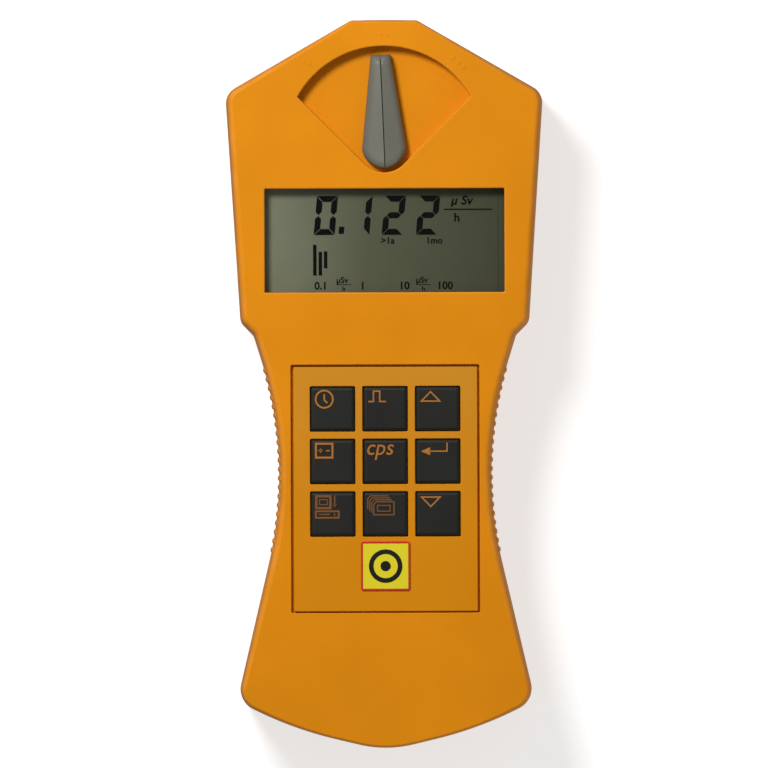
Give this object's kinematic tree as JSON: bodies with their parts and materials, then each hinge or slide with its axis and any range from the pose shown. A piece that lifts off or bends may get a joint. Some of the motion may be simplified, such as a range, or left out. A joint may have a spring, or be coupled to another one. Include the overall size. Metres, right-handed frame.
{
  "type": "handheld geiger counter",
  "caption": "Handheld radiation meter: waisted orange case with display, keypad and a lever that swings shields across the window of the tube inside.",
  "frame": {"origin": "middle of the footprint, on the back face that the counter lies on", "axes": "+Z out of the display face, +Y along the case towards the detector window, +X to the right of a reader facing the display"},
  "size_m": [0.0708, 0.163, 0.03],
  "materials": {
    "case_orange": "fine matte texture",
    "panel_orange": "satin",
    "key_black": "satin",
    "lever_grey": "satin",
    "badge_yellow": "printed film",
    "clear_lens": "clear",
    "lcd_glass": "grey-green",
    "black_plastic": "matte",
    "black_rubber": "matte",
    "board_green": "solder mask",
    "white_plastic": "matte",
    "steel": "bright",
    "aluminium": "satin",
    "brass": "bright",
    "cell_wrap": "film",
    "red_wire": "insulation",
    "black_wire": "insulation",
    "silver_label": "printed film"
  },
  "bodies": {
    "housing": {"front_shell": "case_orange", "back_shell": "case_orange", "window_grille": "steel", "rear_label": "silver_label", "case_screw_1": "steel", "case_screw_2": "steel", "case_screw_3": "steel", "case_screw_4": "steel", "display_lens": "clear_lens", "lcd_glass": "lcd_glass", "lcd_frame": "black_plastic", "contact_strip_upper": "black_rubber", "contact_strip_lower": "black_rubber", "keypad_panel": "panel_orange", "dome_sheet": "steel", "emblem_badge": "badge_yellow", "detent_spring": "steel", "detector_tube": "steel", "tube_window": "clear_lens", "tube_anode": "brass", "cathode_band": "brass", "tube_saddle_front": "black_rubber", "tube_saddle_rear": "black_rubber", "anode_lead": "red_wire", "circuit_board": "board_green", "processor_chip": "black_plastic", "memory_chip": "black_plastic", "clock_crystal": "steel", "high_voltage_transformer": "black_plastic", "high_voltage_capacitor": "black_plastic", "supply_capacitor": "aluminium", "buzzer": "black_plastic", "usb_socket": "steel", "board_screw_1": "steel", "board_screw_2": "steel", "board_screw_3": "steel", "board_screw_4": "steel", "battery_cell": "cell_wrap", "battery_tray": "black_plastic", "battery_contact_positive": "brass", "battery_contact_negative": "brass", "battery_lead_positive": "red_wire", "battery_lead_negative": "black_wire"},
    "selector": {"selector_lever": "lever_grey", "selector_shaft": "steel", "shutter_arm": "white_plastic", "gamma_shield": "aluminium", "beta_foil": "aluminium", "selector_washer": "steel", "selector_screw": "steel"},
    "key_clock_body": {"key_clock": "key_black"},
    "key_pulse_body": {"key_pulse": "key_black"},
    "key_up_body": {"key_up": "key_black"},
    "key_battery_body": {"key_battery": "key_black"},
    "key_rate_body": {"key_rate": "key_black"},
    "key_enter_body": {"key_enter": "key_black"},
    "key_transfer_body": {"key_transfer": "key_black"},
    "key_memory_body": {"key_memory": "key_black"},
    "key_down_body": {"key_down": "key_black"}
  },
  "joints": [
    {"name": "selector_turn", "type": "hinge", "parent": "housing", "child": "selector", "pos_m": [0, 0.0533, 0.027], "axis": [0, 0, 1], "range_deg": [-44.5, 39.5]},
    {"name": "key_clock_press", "type": "slide", "parent": "housing", "child": "key_clock_body", "axis": [0, 0, -1], "range_m": [0, 0.0006], "stiffness_N_per_m": 1500, "springref_m": -0.0002},
    {"name": "key_pulse_press", "type": "slide", "parent": "housing", "child": "key_pulse_body", "axis": [0, 0, -1], "range_m": [0, 0.0006], "stiffness_N_per_m": 1500, "springref_m": -0.0002},
    {"name": "key_up_press", "type": "slide", "parent": "housing", "child": "key_up_body", "axis": [0, 0, -1], "range_m": [0, 0.0006], "stiffness_N_per_m": 1500, "springref_m": -0.0002},
    {"name": "key_battery_press", "type": "slide", "parent": "housing", "child": "key_battery_body", "axis": [0, 0, -1], "range_m": [0, 0.0006], "stiffness_N_per_m": 1500, "springref_m": -0.0002},
    {"name": "key_rate_press", "type": "slide", "parent": "housing", "child": "key_rate_body", "axis": [0, 0, -1], "range_m": [0, 0.0006], "stiffness_N_per_m": 1500, "springref_m": -0.0002},
    {"name": "key_enter_press", "type": "slide", "parent": "housing", "child": "key_enter_body", "axis": [0, 0, -1], "range_m": [0, 0.0006], "stiffness_N_per_m": 1500, "springref_m": -0.0002},
    {"name": "key_transfer_press", "type": "slide", "parent": "housing", "child": "key_transfer_body", "axis": [0, 0, -1], "range_m": [0, 0.0006], "stiffness_N_per_m": 1500, "springref_m": -0.0002},
    {"name": "key_memory_press", "type": "slide", "parent": "housing", "child": "key_memory_body", "axis": [0, 0, -1], "range_m": [0, 0.0006], "stiffness_N_per_m": 1500, "springref_m": -0.0002},
    {"name": "key_down_press", "type": "slide", "parent": "housing", "child": "key_down_body", "axis": [0, 0, -1], "range_m": [0, 0.0006], "stiffness_N_per_m": 1500, "springref_m": -0.0002}
  ]
}
